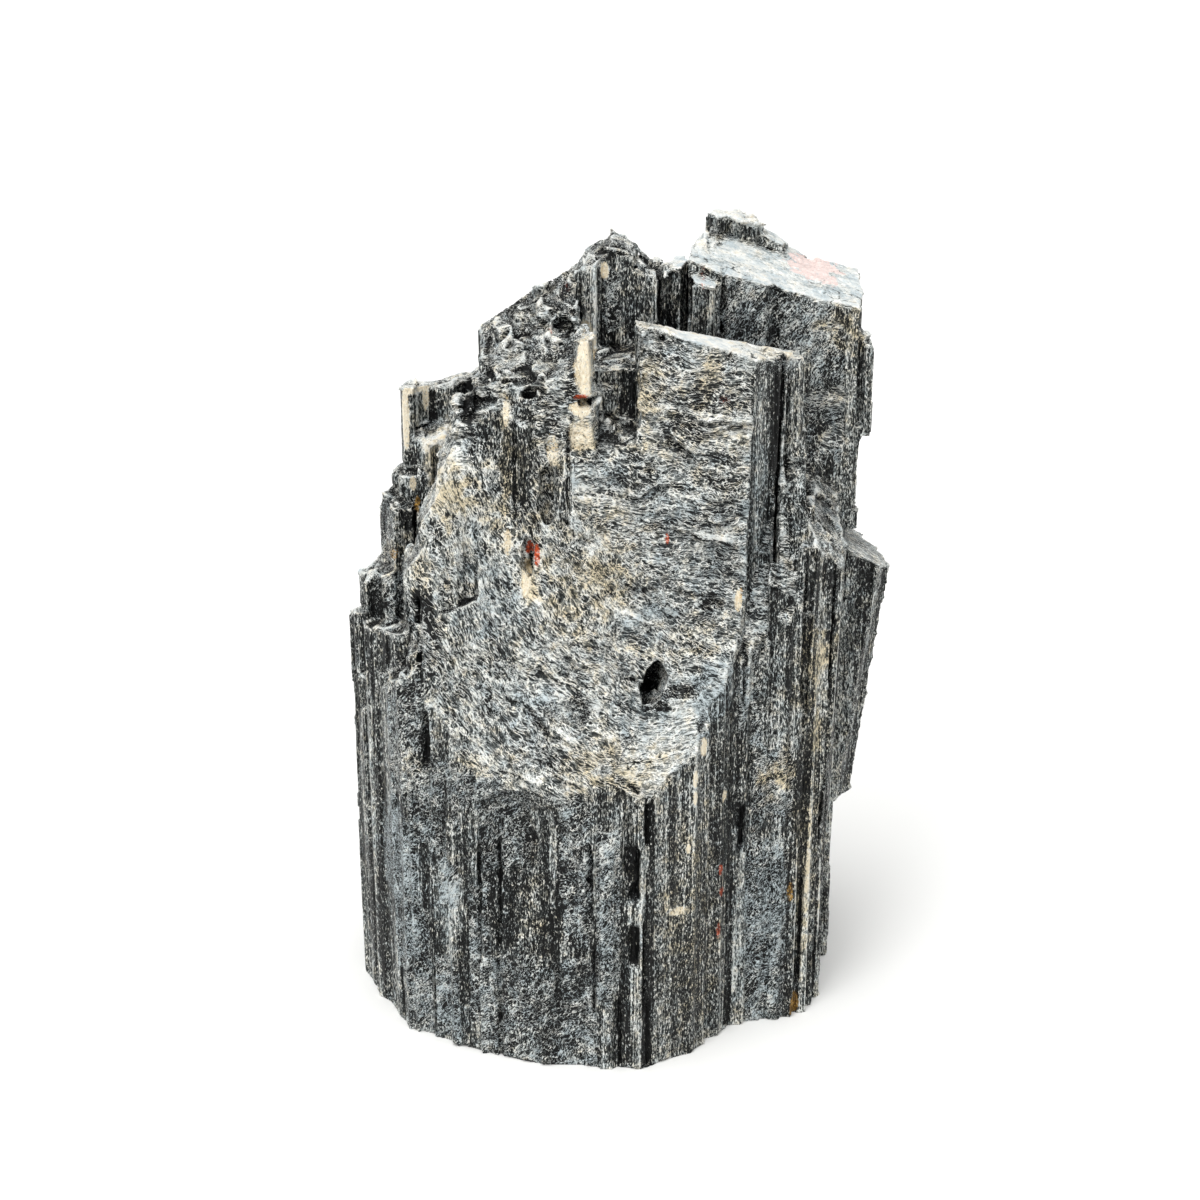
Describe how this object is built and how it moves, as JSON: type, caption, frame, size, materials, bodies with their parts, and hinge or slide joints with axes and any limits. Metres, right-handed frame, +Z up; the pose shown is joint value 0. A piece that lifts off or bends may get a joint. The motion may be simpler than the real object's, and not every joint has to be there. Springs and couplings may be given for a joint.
{
  "type": "black tourmaline crystal cluster",
  "caption": "Standing cluster of black tourmaline prisms with striated sides, stepped broken tops, a rough broken front face and a flat cut base.",
  "frame": {"origin": "middle of the bounding box in plan, at the level of the flat cut base", "axes": "+Z up along the prisms, +X to the right and -Y towards a viewer of the broken front face"},
  "size_m": [0.1028, 0.078, 0.1486],
  "materials": {
    "schorl": "black tourmaline: glassy along the striated prism faces, dull grey and rough on the breaks"
  },
  "bodies": {
    "root": {"tourmaline_crystal": "schorl"}
  },
  "joints": []
}
